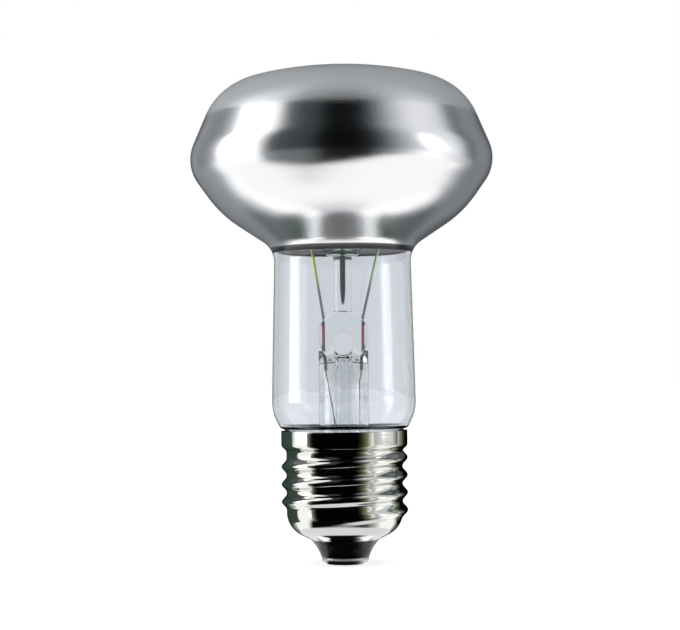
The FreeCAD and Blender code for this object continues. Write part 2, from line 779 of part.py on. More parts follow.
def make_arbor(supports):
    """The glass rod on the press, with the button that holds the support wires."""
    foot = f"({DISC_Z} + sqrt(size.disc_radius ^ 2 - size.arbor_radius ^ 2))"
    rod = turned("arbor_blank", [
        ("0", foot, None),
        ("size.arbor_radius", foot, None),
        ("size.arbor_radius", BUTTON_Z, "size.button_edge"),
        ("size.button_radius", BUTTON_Z, "size.button_edge"),
        ("size.button_radius", f"{BUTTON_Z} + size.button_height", "size.button_edge"),
        ("0", f"{BUTTON_Z} + size.button_height", None),
    ])
    return without("arbor_rod", rod, press_disc("arbor_saddle"), *supports)


def make_centre_solder(wire):
    plug = primitive(
        "Part::Cylinder", "solder_plug",
        Radius="size.eyelet_radius - size.contact_sheet", Height="size.solder_height",
    )
    return without("centre_solder", plug, wire)


def make_side_solder(wire):
    """The blob on the outside of the rim, at the back."""
    blob = primitive(
        "Part::Ellipsoid", "solder_blob", Radius1="size.side_solder_tall",
        Radius2="size.side_solder_wide", Radius3="size.side_solder_deep",
        Placement_at_y=SKIRT_R, Placement_at_z=f"{RIM_Z} - size.side_solder_drop",
    )
    core = primitive("Part::Cylinder", "solder_core", Radius=SKIRT_R, Height=RIM_Z)
    return without("side_solder", blob, core, wire)


def make_cement(glass, shell, wire):
    """The cement baked between the neck and the skirt."""
    low, high = f"({RIM_Z} - size.cement_low)", f"({RIM_Z} - size.cement_high)"
    lean = f"(({THROAT_R} - {TAIL_R}) / ({THROAT_Z} - {TAIL_Z}))"
    middle = f"({TAIL_R} - size.glass_wall / 2)"
    outer = f"{SKIRT_R} - size.shell_wall / 2"
    blank = turned("cement_blank", [
        (f"{middle} + ({low} - {TAIL_Z}) * {lean}", low, None),
        (outer, low, None),
        (outer, high, None),
        (f"{middle} + ({high} - {TAIL_Z}) * {lean}", high, None),
    ])
    return without("basing_cement", blank, glass, shell, wire)


line = glass_line()
glass_bulb = make_glass(line)
reflector_coating = make_film(line)
cap_shell = make_shell()
cap_insulator = make_insulator(cap_shell)
centre_contact = make_contact()
exhaust_tube = make_exhaust()
dumet_right, lead_right = make_leads("right", 0)
dumet_left, lead_left = make_leads("left", 180)
centre_wire = make_centre_wire()
side_wire = make_side_wire()
stem_flare = make_stem([dumet_right, lead_right, dumet_left, lead_left])
supports = [make_support(number) for number in (1, 2, 3)]
filament = make_filament([lead_right, lead_left])
arbor_rod = make_arbor(supports)
centre_solder = make_centre_solder(centre_wire)
side_solder = make_side_solder(side_wire)
basing_cement = make_cement(glass_bulb, cap_shell, side_wire)
doc.recompute()

PIECES = [
    glass_bulb, reflector_coating, cap_shell, cap_insulator, centre_contact, centre_solder,
    side_solder, basing_cement, stem_flare, exhaust_tube, arbor_rod, dumet_left, dumet_right,
    lead_left, lead_right, centre_wire, side_wire, filament, *supports,
]

for thing in doc.Objects:
    if {"Invalid", "Error"} & set(thing.State):
        raise RuntimeError(f"{thing.Name} did not build")
for piece in PIECES:
    if piece.Shape.isNull() or not piece.Shape.isValid() or not piece.Shape.Solids:
        raise RuntimeError(f"{piece.Label} is not a valid solid")

os.makedirs("parts", exist_ok=True)
for piece in PIECES:
    piece.Shape.exportStep(f"parts/{piece.Label}.step")
    print(piece.Label, len(piece.Shape.Solids), round(piece.Shape.Volume, 3))
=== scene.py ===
# %% [markdown]
# # A reflector bulb
# A reflector bulb is one blown glass envelope on a rolled metal screw cap. The widest part of the
# glass is a mirror, the dome above it is frosted, and the neck is clear, so the glass stem shows.
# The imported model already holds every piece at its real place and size. This lesson loads it and
# gives each piece its true surface and finish, working in millimetres and storing metres.

# %% Start
import math

import bmesh
import bpy
import numpy as np
from mathutils import Euler, Matrix


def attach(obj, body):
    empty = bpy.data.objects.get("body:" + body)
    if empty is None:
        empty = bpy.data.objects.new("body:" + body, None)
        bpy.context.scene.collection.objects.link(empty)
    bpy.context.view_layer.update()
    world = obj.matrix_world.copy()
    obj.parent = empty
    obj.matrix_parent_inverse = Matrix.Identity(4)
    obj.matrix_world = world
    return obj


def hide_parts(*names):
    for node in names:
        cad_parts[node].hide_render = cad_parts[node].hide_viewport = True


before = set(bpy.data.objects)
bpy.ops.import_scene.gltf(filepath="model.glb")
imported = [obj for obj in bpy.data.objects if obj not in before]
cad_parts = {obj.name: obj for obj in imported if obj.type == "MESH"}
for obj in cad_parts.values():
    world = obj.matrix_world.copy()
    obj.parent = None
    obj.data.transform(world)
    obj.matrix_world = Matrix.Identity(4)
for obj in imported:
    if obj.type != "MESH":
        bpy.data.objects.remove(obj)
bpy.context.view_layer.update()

# %% [markdown]
# ## Small helpers
# Colours are picked as sRGB hex values, which is how a screen shows them, but shaders compute in
# linear light. One function turns one into the other. A second function adds a shader node and
# fills its sockets, either with a value or with a link, so each material stays a short list. Four
# more build what most finishes here need: a product of masks, a mask that fades along a length,
# colours painted over each other, and a whole finish mottled by one noise. Masks could also be
# painted by hand, but worked out from heights in millimetres they stay sharp and are easy to move.

# %% Colour and node helpers
MM = 0.001


def linear(hex_colour):
    """Linear RGBA of an sRGB hex: ((c + 0.055) / 1.055) to the power 2.4, or c / 12.92 when dark."""
    c = np.array([int(hex_colour[i:i + 2], 16) for i in (0, 2, 4)]) / 255
    return (*np.where(c > 0.04045, ((c + 0.055) / 1.055) ** 2.4, c / 12.92), 1.0)


def add(tree, kind, inputs=None, **settings):
    """Adds a node, sets its settings, and fills its inputs with values or links. Returns the node."""
    node = tree.nodes.new("ShaderNode" + kind)
    for name, setting in settings.items():
        setattr(node, name, setting)
    for name, content in (inputs or {}).items():
        if isinstance(content, bpy.types.NodeSocket):
            tree.links.new(content, node.inputs[name])
        else:
            node.inputs[name].default_value = content
    return node


def empty_material(name):
    """A material with an empty tree."""
    material = bpy.data.materials.new(name)
    material.use_nodes = True
    material.node_tree.nodes.clear()
    return material, material.node_tree


def new_material(name):
    """A material with its tree, its Principled shader and its Object coordinates."""
    material, tree = empty_material(name)
    shader = add(tree, "BsdfPrincipled")
    add(tree, "OutputMaterial", {"Surface": shader.outputs["BSDF"]})
    coords = add(tree, "TexCoord").outputs["Object"]
    return material, tree, shader, coords


def fill(tree, shader, **inputs):
    """Fills the shader's sockets, named with underscores for spaces, with values or links."""
    for name, content in inputs.items():
        socket = shader.inputs[name.replace("_", " ")]
        if isinstance(content, bpy.types.NodeSocket):
            tree.links.new(content, socket)
        else:
            socket.default_value = content


def together(tree, *masks):
    """The product of masks and numbers: full only where all the masks are 1."""
    product = masks[0]
    for mask in masks[1:]:
        product = add(tree, "Math", {0: product, 1: mask}, operation="MULTIPLY").outputs[0]
    return product


def fade(tree, value, *edges, unit=MM):
    """A mask along a value: for each pair of edges a smooth step from 0 to 1, multiplied together.

    A step at share x is 3 x squared less 2 x cubed. Edges in falling order step down instead.
    """
    steps = [
        add(tree, "MapRange", {"Value": value, "From Min": start * unit, "From Max": end * unit},
            interpolation_type="SMOOTHSTEP").outputs[0]
        for start, end in edges
    ]
    return together(tree, *steps)


def paint(tree, base, *layers):
    """The base colour under layers of (mask, colour), each of which shows where its mask is 1."""
    base = linear(base) if isinstance(base, str) else base
    for mask, colour in layers:
        colour = linear(colour) if isinstance(colour, str) else colour
        base = add(tree, "Mix", {0: mask, 6: base, 7: colour}, data_type="RGBA").outputs[2]
    return base


def mottled(name, grain, detail, colours, rough, bump=None, **inputs):
    """A finish that wanders between its colours in spots of the grain's size in mm.

    Where the roughness is a pair, it wanders too. Where a bump is given, as a strength and a depth
    in mm, the same spots also stand out.
    """
    material, tree, shader, coords = new_material(name)
    spots = add(tree, "TexNoise", {"Vector": coords, "Scale": 1 / (grain * MM), "Detail": detail}).outputs["Fac"]
    if isinstance(rough, tuple):
        rough = add(tree, "MapRange", {"Value": spots, "To Min": rough[0], "To Max": rough[1]}).outputs[0]
    colour = paint(tree, colours[0], *[(spots, other) for other in colours[1:]])
    fill(tree, shader, Base_Color=colour, Roughness=rough, **inputs)
    if bump:
        relief = add(tree, "Bump", {"Height": spots, "Strength": bump[0], "Distance": bump[1] * MM})
        fill(tree, shader, Normal=relief.outputs[0])
    return material


print("linear mid grey:", linear("808080")[:3])

# %% [markdown]
# ## Surfaces from grids
# Almost every piece of a bulb is made on a lathe, in a mould or by rolling, so its surface is a
# function of two parameters: how far along an outline, and how far round the axis. Numpy works out
# all the points of such a grid at once, and one function hands them to the mesh. Modelling by hand
# would also do, but a formula keeps the curves true and easy to change.

# %% Grid to mesh
def piece_from(name, grids, materials, wrap_rows=False, sharp=None):
    """Makes one mesh piece from grids of points in mm, each (rows, columns, 3), columns closed.

    Point (i, j) joins (i + 1, j) and (i, j + 1), with the last column joined to the first, and the
    last row to the first where wrap_rows is set. Doubled points, as at a pole, are merged.
    """
    verts, faces, start = [], [], 0
    for grid in grids:
        rows, columns = grid.shape[:2]
        i = np.arange(rows if wrap_rows else rows - 1)[:, None]
        j = np.arange(columns)[None, :]
        i_next, j_next = (i + 1) % rows, (j + 1) % columns
        corners = [i * columns + j, i * columns + j_next, i_next * columns + j_next, i_next * columns + j]
        faces.append(np.stack([np.broadcast_to(c, (i.size, columns)) for c in corners], -1).reshape(-1, 4) + start)
        verts.append(grid.reshape(-1, 3) * MM)
        start += rows * columns
    mesh = bpy.data.meshes.new(name)
    mesh.from_pydata(np.concatenate(verts), [], np.concatenate(faces).tolist())
    shell = bmesh.new()
    shell.from_mesh(mesh)
    bmesh.ops.remove_doubles(shell, verts=shell.verts, dist=1e-7)
    bmesh.ops.recalc_face_normals(shell, faces=shell.faces)
    shell.to_mesh(mesh)
    shell.free()
    mesh.polygons.foreach_set("use_smooth", np.ones(len(mesh.polygons), bool))
    if sharp:
        mesh.set_sharp_from_angle(angle=math.radians(sharp))
    for material in materials:
        mesh.materials.append(material)
    piece = bpy.data.objects.new(name, mesh)
    bpy.context.scene.collection.objects.link(piece)
    print(f"{name}: {len(mesh.polygons)} faces")
    return piece


def dress(piece, slot, *nodes):
    """The piece rides on the bulb's one body and stands for the CAD nodes named, which are hidden. The slot is not
    used.
    """
    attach(piece, "root")
    if nodes:
        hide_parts(*nodes)


# %% [markdown]
# ## Outlines and the lathe
# A drawing of a turned or moulded piece gives its corners and the radius of each bend, and so do
# the lists below. Bevels in the viewport would round the corners too, but a list keeps every size
# in sight. Each outline is then spun round the axis, moved inwards for a wall, or swept as a tube.

# %% Outlines and lathe
ARC_STEP = math.radians(4)


def rounded(corners, step=0.8):
    """Points (n, 2) along straight runs between corners (x, z, bend), with an arc at each bend.

    The arc of radius b in a corner of half angle h starts b / tan h before it and is centred
    b / sin h inwards. Runs are divided into pieces of about the given step.
    """
    spots = np.array([c[:2] for c in corners], float)
    legs, last = [], spots[0]
    for before, here, after, (_, _, bend) in zip(spots, spots[1:], spots[2:], corners[1:-1]):
        back, onward = before - here, after - here
        back, onward = back / np.linalg.norm(back), onward / np.linalg.norm(onward)
        half = math.acos(np.clip(back @ onward, -1, 1)) / 2
        if bend:
            middle = here + (back + onward) / np.linalg.norm(back + onward) * bend / math.sin(half)
            first, end = here + back * bend / math.tan(half), here + onward * bend / math.tan(half)
            turn = math.pi - 2 * half
            side = np.sign(np.cross(-back, onward))
            share = np.linspace(0, side * turn, max(3, int(turn / ARC_STEP) + 2))
            arm = first - middle
            arc = np.stack([arm[0] * np.cos(share) - arm[1] * np.sin(share),
                            arm[0] * np.sin(share) + arm[1] * np.cos(share)], -1) + middle
        else:
            first, end, arc = here, here, here[None, :]
        legs += [run(last, first, step), arc]
        last = end
    legs.append(run(last, spots[-1], step))
    points = np.concatenate(legs)
    keep = np.r_[True, np.linalg.norm(np.diff(points, axis=0), axis=1) > 1e-6]
    return points[keep]


def run(start, end, step):
    """Evenly spaced points from start to end, both counted."""
    count = max(2, int(np.linalg.norm(end - start) / step) + 1)
    return start + (end - start) * np.linspace(0, 1, count)[:, None]


def lathe(profile, columns=160):
    """The grid of a profile (r, z) spun about Z: x = r cos t, y = r sin t."""
    turn = np.linspace(0, 2 * np.pi, columns, endpoint=False)
    r, z = profile[:, :1], profile[:, 1:]
    return np.stack([r * np.cos(turn), r * np.sin(turn), z + 0 * turn], -1)


def shifted(profile, wall):
    """The profile moved by the wall along its normals, which are its tangents turned a quarter."""
    tangent = np.gradient(profile, axis=0)
    tangent /= np.linalg.norm(tangent, axis=1)[:, None]
    return profile + wall * np.stack([tangent[:, 1], -tangent[:, 0]], -1)


def tube(path, radius, sides, aside):
    """A round tube along a path (n, 3), as a circle round each point square to the path.

    The circle's first direction is the cross product of the path's run and the direction aside,
    and its second is the cross product of the run and the first.
    """
    onward = np.gradient(path, axis=0)
    onward /= np.linalg.norm(onward, axis=1)[:, None]
    across = np.cross(onward, aside)
    across /= np.linalg.norm(across, axis=1)[:, None]
    over = np.cross(onward, across)
    turn = np.linspace(0, 2 * np.pi, sides, endpoint=False)[None, :, None]
    rings = path[:, None] + radius * (np.cos(turn) * across[:, None] + np.sin(turn) * over[:, None])
    ends = [np.repeat(path[i][None, None], sides, 1) for i in (0, -1)]
    return np.concatenate([ends[0], rings, ends[1]])


print("helpers ready")

# %% [markdown]
# ## The camera
# A product photographer stands a bulb at the lens's own height and steps back, so that the sides
# stay upright. Here a long lens of 99 mm stands 390 mm away, just under half the bulb's height, and
# is tipped by a little over half a degree, as a hand-placed bulb often is. Its place could be found
# by eye, but the heights and widths of the thread and the head in the picture fix it better.

# %% Camera
PICTURE = (680, 630)
SENSOR = 36.0
FOCAL_PIXELS = 1870
STAND_BACK = 390.0
LENS_HEIGHT = 40.6
HORIZON_ROW = 368
AXIS_COLUMN = 343.0
TIP = math.radians(0.6)

camera_data = bpy.data.cameras.new("camera")
camera_data.sensor_width = SENSOR
camera_data.lens = SENSOR * FOCAL_PIXELS / PICTURE[0]
camera = bpy.data.objects.new("camera", camera_data)
pitch = math.atan((HORIZON_ROW - PICTURE[1] / 2) / FOCAL_PIXELS)
yaw = math.atan((AXIS_COLUMN - PICTURE[0] / 2) / FOCAL_PIXELS)
turn = Euler((math.pi / 2 + pitch, 0, yaw)).to_matrix() @ Matrix.Rotation(-TIP, 3, "Z")
camera.matrix_world = Matrix.Translation((0, -STAND_BACK * MM, LENS_HEIGHT * MM)) @ turn.to_4x4()
bpy.context.scene.collection.objects.link(camera)
bpy.context.scene.camera = camera
bpy.context.scene.view_settings.view_transform = "Standard"
print("lens, mm:", round(camera_data.lens, 1), "pitch, degrees:", round(math.degrees(pitch), 2))

# %% [markdown]
# ## The studio
# Shiny things show the room more than themselves. Two soft lamps stand left and right and the front
# stays dark, which draws the bright bars and the black middle on the metal. What shines back from
# each side of the room is one list of greys by compass direction, used by the air round the bulb
# and, past a hand's breadth from it, by the floor. Straight lines of sight, also through glass, end
# on white paper. The lamps stay at a plain level.

# %% The room by compass
ROOM = [
    (-180, "434648"), (-162, "55595C"), (-150, "808386"), (-132, "6E7275"), (-118, "767A7D"), (-108, "A7A9AB"),
    (-102, "FFFFFF"), (-66, "FFFFFF"), (-58, "3B3F42"), (-42, "373D3E"), (-23, "2D3234"), (-15, "030404"),
    (18, "010202"), (28, "282C2E"), (38, "626669"), (52, "A0A3A5"), (64, "C4C5C6"), (72, "D0D1D2"),
    (98, "C9CACB"), (110, "65696C"), (116, "55595D"), (126, "717578"), (146, "6E7174"), (158, "4E5154"),
    (180, "434648"),
]
CEILING = "74787C"
ROOM_LEVEL = 1.35


def compass_colour(tree, x, y, stops):
    """The colour of a list by compass direction: 0 degrees towards -Y, the camera, and 90 towards +X.

    The angle is the arc tangent of x over minus y. Its share of a turn, plus a half, is the place on
    a colour ramp.
    """
    ahead = add(tree, "Math", {0: y, 1: -1.0}, operation="MULTIPLY").outputs[0]
    angle = add(tree, "Math", {0: x, 1: ahead}, operation="ARCTAN2").outputs[0]
    share = add(tree, "Math", {0: angle, 1: 0.5 / math.pi, 2: 0.5}, operation="MULTIPLY_ADD").outputs[0]
    ramp = add(tree, "ValToRGB", {"Fac": share})
    steps = ramp.color_ramp.elements
    steps.remove(steps[1])
    steps[0].position, steps[0].color = 0.0, linear(stops[0][1])
    for degrees, colour in stops[1:]:
        steps.new(degrees / 360 + 0.5).color = linear(colour)
    return ramp.outputs["Color"]


MIRRORINGS = 1.5


def straight_sight(tree):
    """1 for a ray from the camera, or out of glass after one mirroring at most, and 0 for the others."""
    path = add(tree, "LightPath").outputs
    unturned = add(tree, "Math", {0: path["Glossy Depth"], 1: MIRRORINGS}, operation="LESS_THAN").outputs[0]
    seen = add(tree, "Math", {0: path["Is Camera Ray"], 1: path["Is Transmission Ray"]}, operation="MAXIMUM")
    return together(tree, seen.outputs[0], unturned)


def meets_paper(tree, sight):
    """1 for straight sight and for rays from dull surfaces, which both meet plain paper."""
    dull = add(tree, "LightPath").outputs["Is Diffuse Ray"]
    return add(tree, "Math", {0: sight, 1: dull}, operation="MAXIMUM").outputs[0]


def stage_sheet(name, grid, material):
    """An open sheet of the studio from a grid of points (rows, columns, 3) in mm."""
    rows, columns = grid.shape[:2]
    place = np.arange(rows * columns).reshape(rows, columns)
    faces = np.stack([place[:-1, :-1], place[:-1, 1:], place[1:, 1:], place[1:, :-1]], -1).reshape(-1, 4)
    mesh = bpy.data.meshes.new(name)
    mesh.from_pydata(grid.reshape(-1, 3) * MM, [], faces.tolist())
    mesh.materials.append(material)
    sheet = bpy.data.objects.new(name, mesh)
    bpy.context.scene.collection.objects.link(sheet)
    return sheet


def level_grid(half_x, half_y, height):
    """The two by two grid of a level rectangle's corners, in mm."""
    return np.array([[(-half_x, y, height), (half_x, y, height)] for y in (-half_y, half_y)], float)


print("room colours:", len(ROOM))

# %% [markdown]
# ## Floor, air and lamps
# The bulb stands on a wide sheet of matt white paper, which keeps its shadow. A photographed room
# wrapped round the scene would fill the mirror just as well, but lists and two lamps can be read
# and changed one at a time. Plain sight and dull surfaces meet the paper as it is, and mirrored rays
# meet the lists.

# %% Floor
# Matt paper has no shine, so a rough white does for it. Mirrored rays meet one list under the head,
# one a hand's breadth out, and the room's own at arm's length. A paler ring lies round the contact
FLOOR_WHITE = "F2F2F2"
FLOOR_GLOW = 0.64
FLOOR_HALF = 3000
FLOOR_NEAR = [
    (-180, "47494C"), (-125, "57595C"), (-108, "ADAFB0"), (-100, "FFFFFF"), (-68, "FFFFFF"), (-58, "070908"),
    (26, "040404"), (36, "4A4D4C"), (54, "BABCBA"), (64, "FFFFFF"), (100, "FFFFFF"), (118, "4E5154"),
    (180, "47494C"),
]
FLOOR_FAR = [
    (-180, "4A4D50"), (-150, "717477"), (-116, "84898B"), (-102, "FFFFFF"), (-64, "FFFFFF"), (-58, "6E7274"),
    (-44, "626566"), (-24, "5D5F5F"), (-12, "131414"), (20, "0A0C0C"), (32, "64686A"), (48, "AAACAE"),
    (66, "FFFFFF"), (98, "C1C2C3"), (118, "696C6F"), (148, "6E7174"), (160, "4A4D50"), (180, "4A4D50"),
]
RINGS = [((85, 120), FLOOR_FAR), ((450, 620), ROOM)]
BRIGHT_RING = ((7.3, 8.8), (17.0, 15.5))
RING_WHITE = "DDDFE1"

floor_paper, tree, shader, coords = new_material("white_studio_paper")
spot = add(tree, "SeparateXYZ", {0: coords}).outputs
reach = add(tree, "VectorMath", {0: coords}, operation="LENGTH").outputs["Value"]
shine = paint(
    tree, compass_colour(tree, spot["X"], spot["Y"], FLOOR_NEAR),
    *[(fade(tree, reach, edges), compass_colour(tree, spot["X"], spot["Y"], stops)) for edges, stops in RINGS],
    (fade(tree, reach, *BRIGHT_RING), RING_WHITE),
)
seen = straight_sight(tree)
fill(tree, shader, Base_Color=linear(FLOOR_WHITE), Roughness=0.9, Emission_Color=linear("FFFFFF"),
     Emission_Strength=together(tree, seen, FLOOR_GLOW))
mirrored = add(tree, "Emission", {"Color": shine, "Strength": ROOM_LEVEL}).outputs[0]
both = add(tree, "MixShader", {"Fac": meets_paper(tree, seen), 1: mirrored, 2: shader.outputs["BSDF"]}).outputs[0]
add(tree, "OutputMaterial", {"Surface": both}).is_active_output = True
stage_sheet("studio_floor", level_grid(FLOOR_HALF, FLOOR_HALF, 0), floor_paper)
print("floor, metres across:", 2 * FLOOR_HALF * MM)

# %% World
# The air lights dull things with a soft grey that grows lighter upwards, as under a white ceiling
FILL_LOW, FILL_HIGH = "909090", "D8D8D8"
FILL_RISE = (0.1, 1.0)
OVERHEAD = (0.95, 1.0)

world = bpy.data.worlds.new("studio_air")
bpy.context.scene.world = world
world.use_nodes = True
air = world.node_tree
air.nodes.clear()
way = add(air, "SeparateXYZ", {0: add(air, "TexCoord").outputs["Generated"]}).outputs
around = paint(air, compass_colour(air, way["X"], way["Y"], ROOM), (fade(air, way["Z"], OVERHEAD, unit=1), CEILING))
soft = paint(air, FILL_LOW, (fade(air, way["Z"], FILL_RISE, unit=1), FILL_HIGH))
dull = add(air, "LightPath").outputs["Is Diffuse Ray"]
plain = add(air, "Background", {"Color": paint(air, "FFFFFF", (dull, soft))}).outputs[0]
mirrored = add(air, "Background", {"Color": around, "Strength": ROOM_LEVEL}).outputs[0]
both = add(air, "MixShader", {"Fac": meets_paper(air, straight_sight(air)), 1: mirrored, 2: plain}).outputs[0]
add(air, "OutputWorld", {"Surface": both})
print("air's fill, low and high:", FILL_LOW, FILL_HIGH)

# %% Lamps
LOW_PART = (0.42, 0.16)


def soft_lamp(name, side, reach, height, wide, tall, level, feather, top=1.0):
    """An area lamp whose face glows at a level, turned to the axis from an angle left or right.

    Lengths are in metres, and the power is the level times pi times the face's area. The glow fades
    over a share of the width at each side, as cloth over a frame does, and to the share top above
    the lowest part, and the mask of both is squared. Straight lines of sight pass the lamp, so it
    never stands as a bright sheet behind the clear neck.
    """
    data = bpy.data.lights.new(name, "AREA")
    data.shape = "RECTANGLE"
    data.size, data.size_y = wide, tall
    data.energy = level * math.pi * wide * tall
    data.use_nodes = True
    tree = data.node_tree
    tree.nodes.clear()
    spot = add(tree, "SeparateXYZ", {0: add(tree, "NewGeometry").outputs["Parametric"]}).outputs
    both = add(tree, "Math", {0: spot["X"], 1: spot["Y"]}, operation="ADD").outputs[0]
    across = add(tree, "Math", {0: 1.0, 1: both}, operation="SUBTRACT").outputs[0]
    sides = fade(tree, across, (0.0, feather[0]), (1.0, 1.0 - feather[1]), unit=1)
    low = fade(tree, spot["X"], LOW_PART, unit=1)
    share = add(tree, "Math", {0: low, 1: 1.0 - top, 2: top}, operation="MULTIPLY_ADD").outputs[0]
    face = together(tree, sides, share)
    off_sight = add(tree, "Math", {0: 1.0, 1: straight_sight(tree)}, operation="SUBTRACT").outputs[0]
    glow = add(tree, "Emission", {"Strength": together(tree, face, face, off_sight)}).outputs[0]
    add(tree, "OutputLight", {"Surface": glow})
    lamp = bpy.data.objects.new(name, data)
    angle = math.radians(side)
    lamp.location = (reach * math.sin(angle), -reach * math.cos(angle), height)
    lamp.rotation_euler = (math.pi / 2, 0, angle)
    lamp.visible_camera = False
    bpy.context.scene.collection.objects.link(lamp)


soft_lamp("left_lamp", side=-79.5, reach=0.7, height=0.42, wide=0.46, tall=0.95, level=4.5, feather=(0.45, 0.04))
soft_lamp("right_lamp", side=87, reach=0.8, height=0.40, wide=0.66, tall=0.9, level=2.0, feather=(0.45, 0.45),
          top=0.42)
print("lamps:", [item.name for item in bpy.data.lights])

# %% [markdown]
# ## Cards and paper near the bulb
# Small bright metal shows whatever stands near it, so a photographer puts dark cards close by, just
# out of the picture, to draw its edges, and white paper where a soft band of light is wanted. Both
# could be lamps, but sheets that only mirror-like rays meet leave the light on the rest as it is.

# %% Two low dark cards round the cap
# Each entry of CARDS is a start and an end by compass and a height in mm. The card is dark green
# with pale ends, and its top edge is a middle grey
CARD = [
    (-180, "0B0D0C"), (-142, "222B26"), (-122, "34423B"), (-90, "3C4D41"), (-56, "7D8879"), (-49, "151A17"),
    (-45, "020202"), (19, "030303"), (25, "2E3022"), (33, "787C5C"), (40, "E8EADF"), (90, "E4E8E0"),
    (97, "8A9481"), (110, "363D34"), (118, "060706"), (180, "060706"),
]
CARD_GLOW = 1.3
CARD_REACH = 29
CARD_POINTS = 40
CARD_TOP = "4A4E51"
CARD_TURN = (27, 30)
CARDS = {"low_card_back": (91.5, 272, 36), "low_card_front": (304, 403, 27)}

card_paper, tree = empty_material("dark_green_card")
spot = add(tree, "SeparateXYZ", {0: add(tree, "TexCoord").outputs["Object"]}).outputs
lower = compass_colour(tree, spot["X"], spot["Y"], CARD)
card_colour = paint(tree, lower, (fade(tree, spot["Z"], CARD_TURN), CARD_TOP))
glow = add(tree, "Emission", {"Color": card_colour, "Strength": CARD_GLOW}).outputs[0]
add(tree, "OutputMaterial", {"Surface": glow})


def gloss_only(sheet):
    """Leaves a sheet of the studio to mirrored rays alone."""
    for kind in ("camera", "diffuse", "transmission", "volume_scatter", "shadow"):
        setattr(sheet, f"visible_{kind}", False)


for name, (start, end, height) in CARDS.items():
    bow = np.radians(np.linspace(start, end, CARD_POINTS))
    edge = np.stack([CARD_REACH * np.sin(bow), -CARD_REACH * np.cos(bow), 0 * bow], -1)
    gloss_only(stage_sheet(name, np.stack([edge, edge + (0, 0, height)]), card_paper))
print("cards:", list(CARDS))

# %% A strip of white paper under the head
# It lies level with the neck's foot, in front of the bulb, and lights the bowl's underside from
# below. Only its upper side shows, so the cap still sees the dark room past it. Its front edge runs
# at a slant, its back edge opens outwards, its ends fade, and a hole leaves room for the neck.
STRIP_WHITE = "FFFFFF"
STRIP_GLOW = 1.06
STRIP_LEVEL = 30
STRIP_HALF = (170, 130)
STRIP_ENDS = (170, 130)
STRIP_FRONT = (-92, -52)
STRIP_SLANT = 0.65
SLANT_REACH = (-25, 60)
STRIP_BACK = (-4, -34)
STRIP_FLARE = 0.3
STRIP_HOLE = (17, 20)

strip_paper, tree = empty_material("white_paper_strip")
spot = add(tree, "SeparateXYZ", {0: add(tree, "TexCoord").outputs["Object"]}).outputs
flat_spot = add(tree, "CombineXYZ", {"X": spot["X"], "Y": spot["Y"]}).outputs[0]
reach = add(tree, "VectorMath", {0: flat_spot}, operation="LENGTH").outputs["Value"]
near, far = (edge * MM for edge in SLANT_REACH)
side = add(tree, "Clamp", {"Value": spot["X"], "Min": near, "Max": far}).outputs[0]
slanted = add(tree, "Math", {0: side, 1: STRIP_SLANT, 2: spot["Y"]}, operation="MULTIPLY_ADD").outputs[0]
apart = add(tree, "Math", {0: spot["X"]}, operation="ABSOLUTE").outputs[0]
flared = add(tree, "Math", {0: apart, 1: -STRIP_FLARE, 2: spot["Y"]}, operation="MULTIPLY_ADD").outputs[0]
below = add(tree, "NewGeometry").outputs["Backfacing"]
above = add(tree, "Math", {0: 1.0, 1: below}, operation="SUBTRACT").outputs[0]
white = together(
    tree, fade(tree, slanted, STRIP_FRONT), fade(tree, flared, STRIP_BACK), fade(tree, reach, STRIP_HOLE),
    fade(tree, apart, STRIP_ENDS), above,
)
paper = add(tree, "Emission", {"Color": linear(STRIP_WHITE), "Strength": STRIP_GLOW}).outputs[0]
clear = add(tree, "BsdfTransparent").outputs[0]
add(tree, "OutputMaterial", {"Surface": add(tree, "MixShader", {"Fac": white, 1: clear, 2: paper}).outputs[0]})
gloss_only(stage_sheet("paper_strip", level_grid(*STRIP_HALF, STRIP_LEVEL), strip_paper))
print("paper strip, mm above the floor:", STRIP_LEVEL)

# %% [markdown]
# ## The blown glass
# The envelope is soda-lime glass, blown in a mould to a wall under a millimetre. Before the mirror
# is put on, the inside of the head is etched, so the aluminium that is evaporated onto it looks
# satin, while the outer face of the glass stays smooth and glossy. Above the mirror the etched glass
# is left bare and looks like frost. Below it the neck is clear. The whole envelope is one turned
# surface with an outer and an inner wall, and one material changes from mirror to frost to clear
# glass with height.

# %% Outline of the glass
RIM = 27.6
SEAL = 21.0
SEAL_RADIUS = 9.4
GLASS_WALL = 0.8
SHRINK = 0.9995
DOME_TOP = 103.3
DOME_BEND = 77.0
BELLY = (32.65, 83.1, 8.0)
SHOULDER = (25.9, 98.9, 13.0)
BELOW_BELLY = [
    BELLY, (25.4, 72.9, 24.0), (14.2, 65.5, 5.1), (15.03, 31.65, 9.0), (13.3, 28.2, 1.0),
    (12.2, 27.85, 0.8), (11.3, 24.6, 4.0), (11.3, SEAL, 1.8), (SEAL_RADIUS, SEAL, 0),
]
DOME_POINTS, SHOULDER_POINTS = 40, 24


